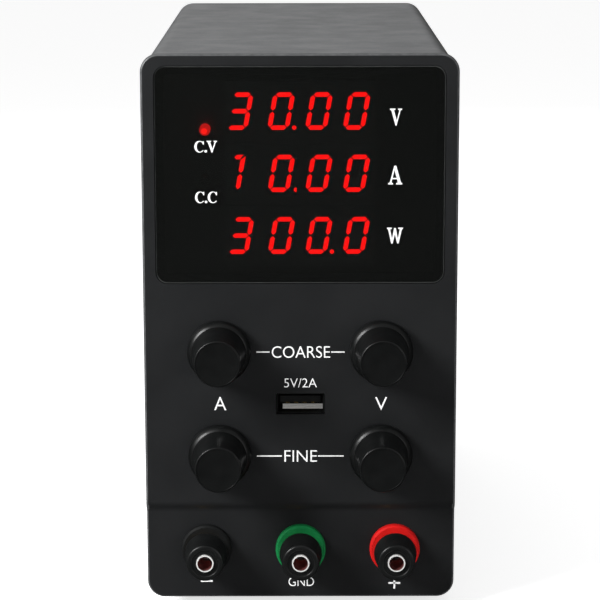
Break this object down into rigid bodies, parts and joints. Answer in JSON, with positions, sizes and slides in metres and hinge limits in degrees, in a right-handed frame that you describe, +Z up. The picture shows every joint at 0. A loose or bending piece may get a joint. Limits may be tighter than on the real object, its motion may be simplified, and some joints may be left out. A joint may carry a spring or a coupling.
{
  "type": "laboratory power supply",
  "caption": "Narrow upright bench power supply with numeric displays, control knobs, a charging port and binding posts in front, and a fan, inlet and switches behind.",
  "frame": {"origin": "on the table under the middle of the whole, between knobs and fan guard", "axes": "+X to the right as seen from the front, +Y from the front panel to the rear panel, +Z up"},
  "size_m": [0.0882, 0.208, 0.1565],
  "materials": {
    "panel_plastic": "fine moulded grain",
    "smoked_window": "smooth, dark, glossy",
    "circuit_board": "solder mask",
    "display_case": "smooth moulded",
    "red_lamp": "diffused epoxy",
    "plated_steel": "nickel plated",
    "control_can": "tinned",
    "knob_plastic": "satin",
    "black_plastic": "satin moulded",
    "green_plastic": "satin moulded",
    "red_plastic": "satin moulded",
    "brass_parts": "turned",
    "grey_paint": "fine textured powder coat",
    "zinc_sheet": "zinc plated",
    "black_rubber": "matt",
    "dark_screws": "black zinc",
    "fuse_glass": "clear tube with plated ends",
    "plain_aluminium": "extruded",
    "ferrite": "sintered ferrite",
    "winding_tape": "polyester tape",
    "can_sleeve": "shrink sleeve",
    "black_wire": "soft insulation",
    "green_wire": "soft insulation",
    "red_wire": "soft insulation"
  },
  "bodies": {
    "case": {"front_bezel": "panel_plastic", "display_window": "smoked_window", "display_board": "circuit_board", "control_board": "circuit_board", "main_board": "circuit_board", "volts_readout": "display_case", "amps_readout": "display_case", "watts_readout": "display_case", "voltage_lamp": "red_lamp", "current_lamp": "red_lamp", "pot_bushings": "plated_steel", "port_shell": "plated_steel", "terminal_posts": "plated_steel", "terminal_fixings": "plated_steel", "inner_screws": "plated_steel", "fan_guard": "plated_steel", "pot_bodies": "control_can", "minus_collar": "black_plastic", "port_tongue": "black_plastic", "fan_frame": "black_plastic", "inlet_body": "black_plastic", "rocker_frame": "black_plastic", "selector_body": "black_plastic", "power_transistors": "black_plastic", "ground_collar": "green_plastic", "plus_collar": "red_plastic", "inlet_pins": "brass_parts", "board_spacers": "brass_parts", "case_cover": "grey_paint", "front_frame": "zinc_sheet", "chassis_base": "zinc_sheet", "rear_panel": "zinc_sheet", "rubber_feet": "black_rubber", "outer_screws": "dark_screws", "heat_sinks": "plain_aluminium", "transformer_core": "ferrite", "transformer_winding": "winding_tape", "capacitors": "can_sleeve", "minus_lead": "black_wire", "ground_lead": "green_wire", "plus_lead": "red_wire"},
    "amps_coarse": {"amps_coarse_knob": "knob_plastic", "amps_coarse_shaft": "plated_steel"},
    "volts_coarse": {"volts_coarse_knob": "knob_plastic", "volts_coarse_shaft": "plated_steel"},
    "amps_fine": {"amps_fine_knob": "knob_plastic", "amps_fine_shaft": "plated_steel"},
    "volts_fine": {"volts_fine_knob": "knob_plastic", "volts_fine_shaft": "plated_steel"},
    "minus_clamp": {"minus_insert": "brass_parts"},
    "ground_clamp": {"ground_insert": "brass_parts"},
    "plus_clamp": {"plus_insert": "brass_parts"},
    "minus_cap": {"minus_cap": "black_plastic"},
    "ground_cap": {"ground_cap": "black_plastic"},
    "plus_cap": {"plus_cap": "black_plastic"},
    "fan": {"fan_rotor": "black_plastic"},
    "fuse_drawer": {"fuse_drawer": "black_plastic", "fuse": "fuse_glass"},
    "rocker": {"rocker_paddle": "red_plastic"},
    "selector": {"selector_slider": "red_plastic"}
  },
  "joints": [
    {"name": "amps_coarse_turn", "type": "hinge", "parent": "case", "child": "amps_coarse", "pos_m": [-0.0224, -0.088, 0.0745], "axis": [0, -1, 0], "range_deg": [-150, 150]},
    {"name": "amps_fine_turn", "type": "hinge", "parent": "case", "child": "amps_fine", "pos_m": [-0.0224, -0.088, 0.045], "axis": [0, -1, 0], "range_deg": [-150, 150]},
    {"name": "volts_coarse_turn", "type": "hinge", "parent": "case", "child": "volts_coarse", "pos_m": [0.0224, -0.088, 0.0745], "axis": [0, -1, 0], "range_deg": [-150, 150]},
    {"name": "volts_fine_turn", "type": "hinge", "parent": "case", "child": "volts_fine", "pos_m": [0.0224, -0.088, 0.045], "axis": [0, -1, 0], "range_deg": [-150, 150]},
    {"name": "minus_clamp_travel", "type": "slide", "parent": "case", "child": "minus_clamp", "axis": [0, -1, 0], "range_m": [0, 0.004]},
    {"name": "minus_cap_turn", "type": "hinge", "parent": "minus_clamp", "child": "minus_cap", "pos_m": [-0.0264, -0.0892, 0.0175], "axis": [0, -1, 0], "range_deg": [0, 1440]},
    {"name": "ground_clamp_travel", "type": "slide", "parent": "case", "child": "ground_clamp", "axis": [0, -1, 0], "range_m": [0, 0.004]},
    {"name": "ground_cap_turn", "type": "hinge", "parent": "ground_clamp", "child": "ground_cap", "pos_m": [0, -0.0892, 0.0175], "axis": [0, -1, 0], "range_deg": [0, 1440]},
    {"name": "plus_clamp_travel", "type": "slide", "parent": "case", "child": "plus_clamp", "axis": [0, -1, 0], "range_m": [0, 0.004]},
    {"name": "plus_cap_turn", "type": "hinge", "parent": "plus_clamp", "child": "plus_cap", "pos_m": [0.0264, -0.0892, 0.0175], "axis": [0, -1, 0], "range_deg": [0, 1440]},
    {"name": "fan_turn", "type": "hinge", "parent": "case", "child": "fan", "pos_m": [0, 0.088, 0.1125], "axis": [0, 1, 0], "continuous": true},
    {"name": "fuse_drawer_pull", "type": "slide", "parent": "case", "child": "fuse_drawer", "axis": [0, 1, 0], "range_m": [0, 0.016]},
    {"name": "rocker_throw", "type": "hinge", "parent": "case", "child": "rocker", "pos_m": [-0.023, 0.0985, 0.0645], "axis": [1, 0, 0], "range_deg": [-18, 0]},
    {"name": "selector_throw", "type": "slide", "parent": "case", "child": "selector", "axis": [1, 0, 0], "range_m": [0, 0.004]}
  ],
  "couplings": [
    {"joint": "minus_cap_turn", "follows": "minus_clamp_travel", "rad_per_m": 6283.2},
    {"joint": "ground_cap_turn", "follows": "ground_clamp_travel", "rad_per_m": 6283.2},
    {"joint": "plus_cap_turn", "follows": "plus_clamp_travel", "rad_per_m": 6283.2}
  ]
}
